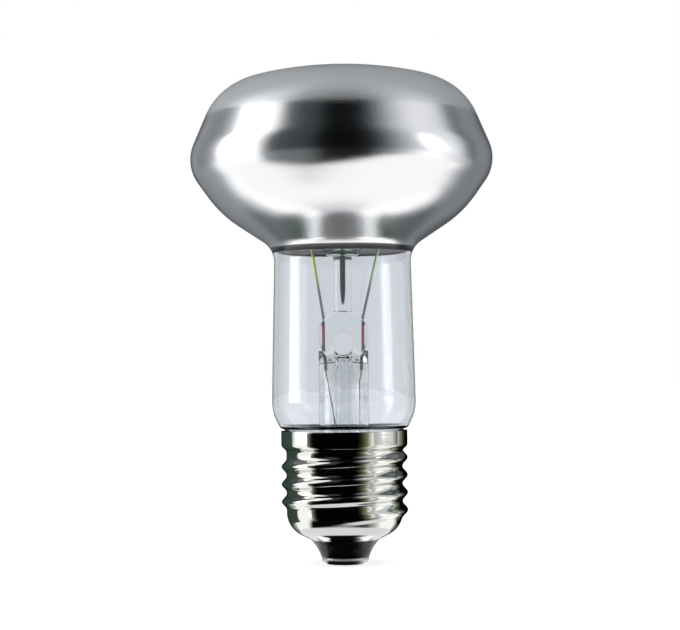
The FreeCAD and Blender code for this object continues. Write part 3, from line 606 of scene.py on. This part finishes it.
def dome_outline():
    """Points of the dome and the shoulder, from the top of the axis down to the cone.

    The dome is a large circle centred on the axis. The shoulder's circle touches its inside and the
    cone, so its centre lies the shoulder's bend inwards of the cone and the difference of the two
    bends from the dome's centre.
    """
    belly, shoulder = np.array(BELLY[:2]), np.array(SHOULDER[:2])
    up = (shoulder - belly) / np.linalg.norm(shoulder - belly)
    inward = np.array([-up[1], up[0]])
    hub = np.array([0, DOME_TOP - DOME_BEND])
    offset = belly + inward * SHOULDER[2] - hub
    along = offset @ up
    climb = -along + math.sqrt(along ** 2 - offset @ offset + (DOME_BEND - SHOULDER[2]) ** 2)
    centre = hub + offset + up * climb
    lean = math.atan2(centre[0] - hub[0], centre[1] - hub[1])
    dome = np.linspace(0, lean, DOME_POINTS)
    cone = math.atan2(-inward[0], -inward[1])
    bend = np.linspace(lean, cone, SHOULDER_POINTS)[1:]
    return np.concatenate([
        hub + DOME_BEND * np.stack([np.sin(dome), np.cos(dome)], -1),
        centre + SHOULDER[2] * np.stack([np.sin(bend), np.cos(bend)], -1),
    ])


dome = dome_outline()
foot = rounded([(*dome[-1], 0)] + BELOW_BELLY)
glass_outer = np.concatenate([dome, foot[1:]]) * (SHRINK, 1)
print("widest radius of the glass, mm:", round(glass_outer[:, 0].max(), 2))

# %% [markdown]
# ## The finish of the glass
# Mirror, frost and clear glass meet in soft edges round the head. Three materials would part them
# with a hard line along the faces, so one material blends them by height, and a slow noise lets the
# edge wander by a fraction of a millimetre, as a sprayed or etched edge does.

# %% The glass material
# Soda-lime glass bends light with an IOR of 1.52 and is faintly grey. Acid gives the inside of the
# head a fine grit, so the aluminium on it looks satin. The grit is drawn coarser than the real one,
# which is too fine to show. A black band is painted along the film's lower edge, opaque and without
# mirror. Heights, grains and depths are in mm, and the other values are shares
MIRROR_LOW = 65.1
MIRROR_HIGH = 91.9
FADE_LOW = (MIRROR_LOW, MIRROR_LOW + 0.35)
FADE_HIGH = (91.4, 97.0)
ETCH_EDGE = (92.2, 93.4)
BLACK_EDGE_SPAN = ((64.45, 64.65), (65.85, 65.6))
SODA_IOR = 1.52
GLASS_TINT = "E6E9ED"
ALUMINIUM = "F0F1F3"
FROST = "E8ECF0"
BLACK_EDGE_COLOUR = "0B0C0D"
PATCH, PATCH_SHIFT = 6, 0.8
GRIT, GRIT_DEPTH, GRIT_STRENGTH = 0.35, 0.03, 0.7
SATIN = (0.12, 0.24)
COARSER = 0.2
MILKY = 0.4
COAT_LOSS = 0.8

etched_glass, tree, shader, coords = new_material("mirrored_and_frosted_soda_glass")
height = add(tree, "SeparateXYZ", {0: coords}).outputs["Z"]
patchy = add(tree, "TexNoise", {"Vector": coords, "Scale": 1 / (PATCH * MM), "Detail": 2.0}).outputs["Fac"]
shift = add(tree, "Math", {0: patchy, 1: PATCH_SHIFT * MM, 2: -PATCH_SHIFT / 2 * MM}, operation="MULTIPLY_ADD")
wavy = add(tree, "Math", {0: height, 1: shift.outputs[0]}, operation="ADD").outputs[0]
above, clear = (fade(tree, wavy, edges) for edges in (FADE_LOW, FADE_LOW[::-1]))
frost, bare = (fade(tree, height, edges) for edges in (FADE_HIGH, FADE_HIGH[::-1]))
# A black band is painted along the mirror's lower edge, opaque and without mirror
black_edge = fade(tree, height, *BLACK_EDGE_SPAN)
off_black_edge = add(tree, "Math", {0: 1.0, 1: black_edge}, operation="SUBTRACT").outputs[0]
mirror = together(tree, above, bare, off_black_edge)
colour = paint(tree, GLASS_TINT, (mirror, ALUMINIUM), (frost, FROST), (black_edge, BLACK_EDGE_COLOUR))
grains = {"Vector": coords, "Scale": 1 / (GRIT * MM), "Detail": 3.0, "Roughness": 0.7}
grit = add(tree, "TexNoise", grains).outputs["Fac"]
satin = add(tree, "MapRange", {"Value": grit, "To Min": SATIN[0], "To Max": SATIN[1]}).outputs[0]
coarse = together(tree, fade(tree, wavy, ETCH_EDGE), COARSER)
rough = add(tree, "Math", {0: above, 1: satin, 2: coarse}, operation="MULTIPLY_ADD").outputs[0]
passing = add(tree, "Math", {0: frost, 1: MILKY, 2: clear}, operation="MULTIPLY_ADD").outputs[0]
coat = add(tree, "Math", {0: frost, 1: -COAT_LOSS, 2: 1.0}, operation="MULTIPLY_ADD").outputs[0]
strength = together(tree, above, GRIT_STRENGTH)
bump = add(tree, "Bump", {"Height": grit, "Strength": strength, "Distance": GRIT_DEPTH * MM})
fill(
    tree, shader, Base_Color=colour, Metallic=mirror, Roughness=rough, IOR=SODA_IOR,
    Transmission_Weight=together(tree, passing, off_black_edge), Coat_Weight=together(tree, above, coat),
    Coat_Roughness=0.05, Coat_IOR=SODA_IOR, Normal=bump.outputs[0],
)

# The inner wall is clear all over, with the slow waves that blowing leaves
clear_glass = mottled("clear_soda_glass", 9, 1.0, [GLASS_TINT], 0.0, bump=(0.06, 0.3), IOR=SODA_IOR,
                      Transmission_Weight=1.0)
print("mirror from", MIRROR_LOW, "to", MIRROR_HIGH, "mm, frost above it")

# %% The envelope
glass_inner = shifted(glass_outer, GLASS_WALL)
glass_inner[0] = (0, DOME_TOP - GLASS_WALL)
inside = glass_inner[:, 1] > SEAL + GLASS_WALL
glass_loop = np.concatenate([glass_outer, [(SEAL_RADIUS, SEAL + GLASS_WALL)], glass_inner[inside][::-1]])
envelope = piece_from("blown_envelope", [lathe(glass_loop, columns=240)], [etched_glass, clear_glass])
centres = np.empty(len(envelope.data.polygons) * 3)
envelope.data.polygons.foreach_get("center", centres)
centres = centres.reshape(-1, 3) / MM
radius_out = np.interp(-centres[:, 2], -glass_outer[:, 1], glass_outer[:, 0])
within = np.hypot(centres[:, 0], centres[:, 1]) < radius_out - GLASS_WALL / 2
normals = np.empty(len(centres) * 3)
envelope.data.polygons.foreach_get("normal", normals)
faces_in = (normals.reshape(-1, 3) * centres * (1, 1, 0)).sum(1) < 0
envelope.data.polygons.foreach_set("material_index", (within & faces_in).astype(np.int32))
envelope.data.update()
dress(envelope, "envelope_glass", "glass_bulb")

# %% [markdown]
# ## The mirror's film
# Aluminium is boiled off a hot wire inside the head and settles on the glass as a film, far thinner
# than a hair. Its inner face shows from below, through the clear neck. A material on the glass
# alone would leave nothing there to see, so the film is a turned strip of its own, just inside.

# %% The mirror's own film
FILM_WALL = 0.1
FILM_GAP = 0.02

# Bare aluminium is a bright mirror. The film's face is painted a darker bluish grey, as painted
# shade for the dim inside of the head, and the grit under it leaves it a little cloudy
darkened_aluminium_film = mottled("aluminium_film_painted_dark", 1.2, 2.0, ["9A9EA2"], 0.16, bump=(0.1, 0.05), Metallic=1.0)

film_line = shifted(glass_outer, GLASS_WALL + FILM_GAP)
film_line = film_line[(film_line[:, 1] > MIRROR_LOW) & (film_line[:, 1] < MIRROR_HIGH)]
film_loop = np.concatenate([film_line, shifted(film_line, FILM_WALL)[::-1]])
film = piece_from("mirror_film", [lathe(film_loop, columns=200)], [darkened_aluminium_film], wrap_rows=True)
dress(film, "mirror_film", "reflector_coating")

# %% [markdown]
# ## The screw cap
# The cap is thin nickel-plated sheet, drawn to a cup and rolled between two tools, so the thread
# stands out on the outside and sinks in on the inside. Its radius is a function of the height and
# the angle: a coil of rounded ridges that starts low on the cup, fades in and runs out under the
# skirt. Sweeping a profile along a helix would also do, but a formula keeps the fading ends smooth.

# %% Thread
MOUTH = 5.1
MOUTH_RADIUS = 7.2
ROOT_RADIUS = 12.1
SKIRT_RADIUS = 13.15
SHEET = 0.3
SKIRT_LOW = 24.4
RAMP = 0.9
CUP_RISE, CUP_BEND = 2.4, 5.2
PITCH = 3.629
FIRST_CREST = 11.1
TURNS = 3.5
FADE_IN = 0.4
FADE_OUT = 0.3
CREST_SHARPNESS = 1.2
THREAD_LOW, THREAD_FADE = 2.2, 1.2
LATHE_WAVE = 0.02


def smooth(x):
    """A smooth step: 3 x squared less 2 x cubed, held at 0 and 1 outside."""
    x = np.clip(x, 0, 1)
    return x * x * (3 - 2 * x)


def thread_height(angle, z):
    """How far the ridge stands out, 0 to 1, at an angle and a height.

    The ridge's middle climbs one pitch a turn. The distance d from it gives a raised cosine,
    ((1 + cos(2 pi d / pitch)) / 2) to a power, faded in below the start and out past the end.
    """
    share = angle / (2 * np.pi)
    coil = np.round((z - FIRST_CREST) / PITCH - share)
    along = coil + share
    away = (z - FIRST_CREST) / PITCH - along
    ridge = ((1 + np.cos(2 * np.pi * away)) / 2) ** CREST_SHARPNESS
    return ridge * smooth((along + FADE_IN) / FADE_IN) * smooth((TURNS - along) / FADE_OUT)


def cap_line(shift):
    """The cup's outline (r, z) from mouth to rim, moved inwards by the shift."""
    line = rounded([(MOUTH_RADIUS, MOUTH, 0), (ROOT_RADIUS, MOUTH + CUP_RISE, CUP_BEND),
                    (ROOT_RADIUS, SKIRT_LOW - RAMP, 1.2), (SKIRT_RADIUS, SKIRT_LOW, 1.0), (SKIRT_RADIUS, RIM, 0)],
                   step=0.14)
    return shifted(line, -shift)


def cap_wall(shift, columns=180):
    """The grid of one wall: the cup's line spun, with the thread added to its radius.

    The product of two slow sines of the angle and the height takes off up to LATHE_WAVE.
    """
    line = cap_line(shift)
    angle = np.linspace(0, 2 * np.pi, columns, endpoint=False)[None, :]
    z = line[:, 1:] + 0 * angle
    base = line[:, :1] + 0 * angle
    low_edge = smooth((line[:, 1:] - MOUTH - THREAD_LOW) / THREAD_FADE)
    ridge = (SKIRT_RADIUS - ROOT_RADIUS) * thread_height(angle, z) * low_edge
    r = np.maximum(base, np.minimum(base, ROOT_RADIUS - shift) + ridge)
    r = r - LATHE_WAVE * (1 + np.sin(3 * angle + z / 2.3) * np.sin(2 * angle - z / 4.1)) / 2
    return np.stack([r * np.cos(angle), r * np.sin(angle), z], -1)


outer_wall, inner_wall = cap_wall(0.0), cap_wall(SHEET)
widest = np.hypot(outer_wall[..., 0], outer_wall[..., 1]).max()
print("cap grid:", outer_wall.shape, "widest radius, mm:", round(float(widest), 2))

# %% [markdown]
# ## The cap's plating
# A bath of nickel keeps the sheet from rusting and leaves it bright. A plain mirror would look like
# a drawing of a cap, so streaks round it and duller patches come from two noises, one of them
# stretched round the axis.

# %% The nickel
# Bright nickel plate on drawn sheet is a slightly yellow mirror. It has faint streaks round it from
# the drawing, and patches that handling has rubbed a little duller
NICKEL, NICKEL_SHADE = "DEDEDA", "CBCBC6"
STREAK, STREAK_SQUASH = 4, 9.0
BLOTCH = 5
RUB = {"From Min": 0.35, "From Max": 0.7, "To Min": 0.03, "To Max": 0.09}

nickel, tree, shader, coords = new_material("bright_nickel_plate")
drawn = add(tree, "Mapping", {"Vector": coords, "Scale": (1.0, 1.0, STREAK_SQUASH)}).outputs["Vector"]
streaks = add(tree, "TexNoise", {"Vector": drawn, "Scale": 1 / (STREAK * MM), "Detail": 4.0}).outputs["Fac"]
blotch = add(tree, "TexNoise", {"Vector": coords, "Scale": 1 / (BLOTCH * MM), "Detail": 3.0}).outputs["Fac"]
rub = add(tree, "MapRange", {"Value": blotch, **RUB}).outputs[0]
relief = add(tree, "Bump", {"Height": streaks, "Strength": 0.12, "Distance": 0.04 * MM}).outputs[0]
fill(tree, shader, Base_Color=paint(tree, NICKEL_SHADE, (blotch, NICKEL)), Metallic=1.0, Roughness=rub, Normal=relief)

cap_loop = np.concatenate([outer_wall, inner_wall[::-1]])
cap = piece_from("screw_cap", [cap_loop], [nickel], wrap_rows=True, sharp=50)
dress(cap, "nickel_plate", "cap_shell")

# %% [markdown]
# ## The cap's bottom
# Black glass is poured and pressed into the cup's mouth, round the brass eyelet that is the centre
# contact. Pressed glass is glossy but never quite even, so its highlights wander. The wire comes
# through the eyelet and is closed with a drop of solder.

# %% Black glass
# Metal oxides make the pressed glass black all through. It shines like any glass, and the slow
# waves of the press bend its highlights
CONTACT_HEIGHT = 1.4
CONTACT_RADIUS = 4.9
EYELET = 1.4
GLASS_FOOT = 5.0
GLASS_TOP = 6.6
FIT = 0.02

black_glass = mottled("pressed_black_glass", 2.6, 2.0, ["08090A"], 0.06, bump=(0.5, 0.35), IOR=SODA_IOR,
                      Specular_IOR_Level=0.25)
insulator_line = rounded([
    (EYELET, 0.35, 0), (4.55, 0.35, 0.75), (4.55, CONTACT_HEIGHT, 0), (GLASS_FOOT, CONTACT_HEIGHT, 0.15),
    (5.82, 3.53, 8.0), (MOUTH_RADIUS - FIT, MOUTH, 0), (8.9, MOUTH + 0.99, 0), (8.4, GLASS_TOP, 0.3),
    (2.6, GLASS_TOP, 0), (EYELET, 4.2, 0),
], step=0.3)
insulator_grid = lathe(insulator_line, columns=128)
insulator = piece_from("black_insulator", [insulator_grid], [black_glass], wrap_rows=True, sharp=40)
dress(insulator, "black_glass", "cap_insulator")

# %% Contact and solder
# The brass is tinned, so that solder takes to it, which makes it a warm grey metal. It dulls in
# patches as it tarnishes. Tin solder sets with a grey skin, wrinkled where it cooled last
contact_metal = mottled("tinned_brass", 1.5, 4.0, ["8C8B86", "C9C9C4"], (0.15, 0.5), bump=(0.5, 0.12), Metallic=1.0)
contact_line = rounded([
    (1.05, FIT, 0), (CONTACT_RADIUS, FIT, 1.08), (CONTACT_RADIUS, CONTACT_HEIGHT - FIT, 0),
    (4.57, CONTACT_HEIGHT - FIT, 0), (4.57, 0.33, 0.75), (EYELET - FIT, 0.33, 0), (EYELET - FIT, 3.2, 0),
    (1.05, 3.2, 0),
], step=0.25)
contact_grid = lathe(contact_line, columns=128)
contact = piece_from("centre_contact_cup", [contact_grid], [contact_metal], wrap_rows=True, sharp=45)
dress(contact, "contact_metal", "centre_contact")

solder = mottled("dull_tin_solder", 0.7, 5.0, ["6E7072", "BFC1C2"], 0.38, bump=(0.6, 0.1), Metallic=1.0)
SWELL = 0.07


def lump(name, centre, radii, seed, rows=40, columns=64):
    """An ellipsoid whose radii swell and sink with three slow waves round it."""
    up = np.linspace(0, np.pi, rows)[:, None]
    round_ = np.linspace(0, 2 * np.pi, columns, endpoint=False)[None, :]
    phase = np.random.default_rng(seed).uniform(0, 2 * np.pi, 3)
    waves = np.sin(2 * round_ + phase[0]) * np.cos(2 * up + phase[1]) + np.sin(5 * round_ + phase[2]) / 2
    swell = 1 + SWELL * np.sin(up) * waves
    shape = np.stack([np.sin(up) * np.cos(round_), np.sin(up) * np.sin(round_), np.cos(up) + 0 * round_], -1)
    return piece_from(name, [np.array(centre) + swell[..., None] * shape * np.array(radii)], [solder])


plug = lump("centre_solder_drop", (0, 0, 0.67), (1.03, 1.03, 0.64), 3)
dress(plug, "solder", "centre_solder")
blob = lump("side_solder_drop", (0, SKIRT_RADIUS + 0.08, RIM - 0.5), (1.7, 0.5, 0.74), 8)
dress(blob, "solder", "side_solder")

# %% [markdown]
# ## The glass stem
# A lead-glass tube is flared at its foot, and its top is pinched flat while it is soft, round the
# two lead wires and the end of a thin exhaust tube. A puff of air then opens the small round hole.
# The pinch is melted glass, so the stem is a copy of the model's solid, remeshed to small even faces
# and relaxed, which rounds every edge as melting does. The rods and tubes are turned.

# %% Stem glass
# Lead glass bends light more than soda-lime glass, so the rods draw strong dark edges. The button is
# a bead of a greener glass
BEAD = (63.2, 63.8)
LEAD_GLASS_IOR = 1.56

stem_glass, tree, shader, coords = new_material("drawn_lead_glass")
bead = fade(tree, add(tree, "SeparateXYZ", {0: coords}).outputs["Z"], BEAD)
fill(tree, shader, Base_Color=paint(tree, "FBFCFC", (bead, "CDEBD8")), Roughness=0.0, IOR=LEAD_GLASS_IOR,
     Transmission_Weight=1.0)
REMESH_STEP = 0.16
RELAX_ROUNDS = 6


def melted(name, node, material):
    """A merged copy of a CAD node, remeshed to an even grid of small faces and relaxed."""
    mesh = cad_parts[node].data.copy()
    shell = bmesh.new()
    shell.from_mesh(mesh)
    bmesh.ops.remove_doubles(shell, verts=shell.verts, dist=1e-6)
    shell.to_mesh(mesh)
    shell.free()
    mesh.materials.clear()
    mesh.materials.append(material)
    piece = bpy.data.objects.new(name, mesh)
    bpy.context.scene.collection.objects.link(piece)
    remesh = piece.modifiers.new("melt", "REMESH")
    remesh.mode = "VOXEL"
    remesh.voxel_size = REMESH_STEP * MM
    remesh.use_smooth_shade = True
    relax = piece.modifiers.new("relax", "SMOOTH")
    relax.iterations = RELAX_ROUNDS
    relax.factor = 0.5
    bpy.context.view_layer.update()
    final = bpy.data.meshes.new_from_object(piece.evaluated_get(bpy.context.evaluated_depsgraph_get()))
    piece.modifiers.clear()
    piece.data = final
    print(f"{name}: {len(final.polygons)} faces")
    return piece


stem = melted("stem_and_press", "stem_flare", stem_glass)
dress(stem, "stem_glass", "stem_flare")

# %% Exhaust tube and arbor
FILL_TUBE = 1.8
FILL_BORE = 1.1
TUBE_LOW = 11.5
TUBE_TOP = 42.58
END_WALL = 1.4
tube_side = FILL_TUBE - 0.01
tube_outer = rounded([(0, TUBE_LOW, 0), (tube_side, TUBE_LOW, 1.6), (tube_side, TUBE_TOP, 0)])
tube_inner = rounded([(FILL_BORE, TUBE_TOP, 0), (FILL_BORE, TUBE_LOW + END_WALL, 0.9), (0, TUBE_LOW + END_WALL, 0)])
tube_line = np.concatenate([tube_outer, tube_inner])
exhaust = piece_from("exhaust_tube_glass", [lathe(tube_line, columns=48)], [stem_glass], sharp=50)
dress(exhaust, "stem_glass", "exhaust_tube")

ROD = 1.9
ROD_FOOT = 52.25
BUTTON_LOW, BUTTON_HIGH, BUTTON = 63.9, 65.5, 3.5
rod_line = rounded([(0, ROD_FOOT, 0), (ROD, ROD_FOOT, 0.3), (ROD, BUTTON_LOW, 0.7), (BUTTON, BUTTON_LOW, 0.7),
                    (BUTTON, BUTTON_HIGH, 0.7), (0, BUTTON_HIGH, 0)], step=0.4)
rod = piece_from("arbor_and_button", [lathe(rod_line, columns=64)], [stem_glass])
dress(rod, "stem_glass", "arbor_rod")

# A near-black core with a dull shine is put up the rod's middle to draw a dark line there. The
# model has no solid for it, so this piece stands for none
CORE = 0.36
CORE_LOW, CORE_HIGH = 53.6, 64.7
core_metal = mottled("dark_rod_core_finish", 1.5, 2.0, ["0E1112", "2A2F31"], 0.5)
core_line = rounded([(0, CORE_LOW, 0), (CORE * 0.6, 54.4, 0), (CORE, 57.0, 3.0), (CORE, CORE_HIGH, 0.2),
                     (0, CORE_HIGH, 0)], step=0.4)
core = piece_from("arbor_core", [lathe(core_line, columns=24)], [core_metal])
dress(core, "support_metal")

# %% [markdown]
# ## The wires
# Two nickel wires lead up from the press to the filament, red copper-clad wires seal the way
# through the glass, and thin bare copper goes down into the cap. Drawn wire is smooth, and the
# nickel leads are painted in colours that change along their length.

# %% Wires
# The nickel is grey where it leaves the press, and above that it is tinted, gold on the left lead
# and pale green on the right. The seal wire's copper is fired with borax, which turns it red where glass
# covers it. Bare copper stays a brownish metal
LEAD = 0.27
LEAD_SIDES = 16
SPREAD = 4.1
LEAD_FOOT = 49.5
RING = 9.0
FILAMENT_HEIGHT = 76.0
TINTED = (56, 61)
SEALED = ((45.0, 45.8), (49.6, 49.2))

lead_metal, tree, shader, coords = new_material("drawn_nickel_wire")
place = add(tree, "SeparateXYZ", {0: coords}).outputs
tint = paint(tree, "D8D25C", (fade(tree, place["X"], (-1, 1)), "C2E2AC"))
fill(tree, shader, Base_Color=paint(tree, "85898A", (fade(tree, place["Z"], TINTED), tint)), Metallic=1.0,
     Roughness=0.32)

seal_metal, tree, shader, coords = new_material("borated_copper_clad_wire")
speck = add(tree, "TexNoise", {"Vector": coords, "Scale": 1 / (0.5 * MM), "Detail": 2.0}).outputs["Fac"]
height = add(tree, "SeparateXYZ", {0: coords}).outputs["Z"]
red = paint(tree, "EA4060", (speck, "FF8CA2"))
fill(tree, shader, Base_Color=paint(tree, "7C7C7A", (fade(tree, height, *SEALED), red)), Roughness=0.4)

copper = mottled("bare_copper_wire", 1.0, 2.0, ["8A4A2E", "C9805A"], 0.3, Metallic=1.0)


def lead(name, side, knee, node):
    """A nickel lead from the press to the filament, on the side -1 or 1, bent at the knee's radius."""
    line = rounded([(SPREAD, LEAD_FOOT, 0), (SPREAD, LEAD_FOOT + 1.5, 3.0), (knee, LEAD_FOOT + 16, 12.0),
                    (RING, FILAMENT_HEIGHT + 0.7, 0)])
    path = np.stack([side * line[:, 0], 0 * line[:, 0], line[:, 1]], -1)
    wire = piece_from(name, [tube(path, LEAD, LEAD_SIDES, (0, 1, 0))], [lead_metal])
    dress(wire, "lead_wire", node)


lead("lead_left", -1, 6.4, "inner_lead_left")
lead("lead_right", 1, 7.5, "inner_lead_right")

# %% [markdown]
# ## The filament
# Tungsten wire, about as thin as a hair, is wound in a close coil and bent in a half ring between
# the leads, where three hooks hold it. A plain round rod would pass for it behind the mirror, but a
# tube swept along a helix is what the real one is, and costs one formula.

# %% The filament
# Drawn tungsten is a dark grey metal with a low shine
COIL = 0.21
COIL_WIRE = 0.045
COIL_SIDES = 5
COIL_TURNS = 190
STEPS_A_TURN = 12

tungsten = mottled("tungsten_wire", 0.4, 2.0, ["3A3B3E", "6B6C70"], 0.35, Metallic=1.0)


def coil_path():
    """Points of a helix of COIL_TURNS turns whose middle runs along a half circle of radius RING."""
    share = np.linspace(0, 1, COIL_TURNS * STEPS_A_TURN)
    way, spin = np.pi * share, 2 * np.pi * COIL_TURNS * share
    reach = RING + COIL * np.cos(spin)
    return np.stack([reach * np.cos(way), reach * np.sin(way), FILAMENT_HEIGHT + COIL * np.sin(spin)], -1)


coil_line = coil_path()
coil = piece_from("filament_coil", [tube(coil_line, COIL_WIRE, COIL_SIDES, coil_line * (1, 1, 0))], [tungsten])
dress(coil, "tungsten", "filament")

# %% [markdown]
# ## Pieces that keep the model's own shape
# The cement, the red seal wires, the copper wires and the three hooks are plain rings and wires
# that glass or metal hides for the most part. Finer copies would show nothing new, so the model's
# own solids stay and only take a finish.

# %% Finishes of the pieces that keep the model's own shape
# Basing cement is powdered stone and resin, baked hard: matt, crumbly and a greenish yellow brown
cement = mottled("baked_basing_cement", 0.8, 4.0, ["5E6B3A", "A3A857"], 0.8, bump=(0.5, 0.2))

KEPT_SHAPES = {
    "basing_cement": cement, "dumet_seal_left": seal_metal, "dumet_seal_right": seal_metal,
    "outer_lead_centre": copper, "outer_lead_side": copper,
    "support_wire_1": tungsten, "support_wire_2": tungsten, "support_wire_3": tungsten,
}
for node, material in KEPT_SHAPES.items():
    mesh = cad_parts[node].data
    mesh.materials.clear()
    mesh.materials.append(material)
print(len(KEPT_SHAPES), "nodes keep their own shape")
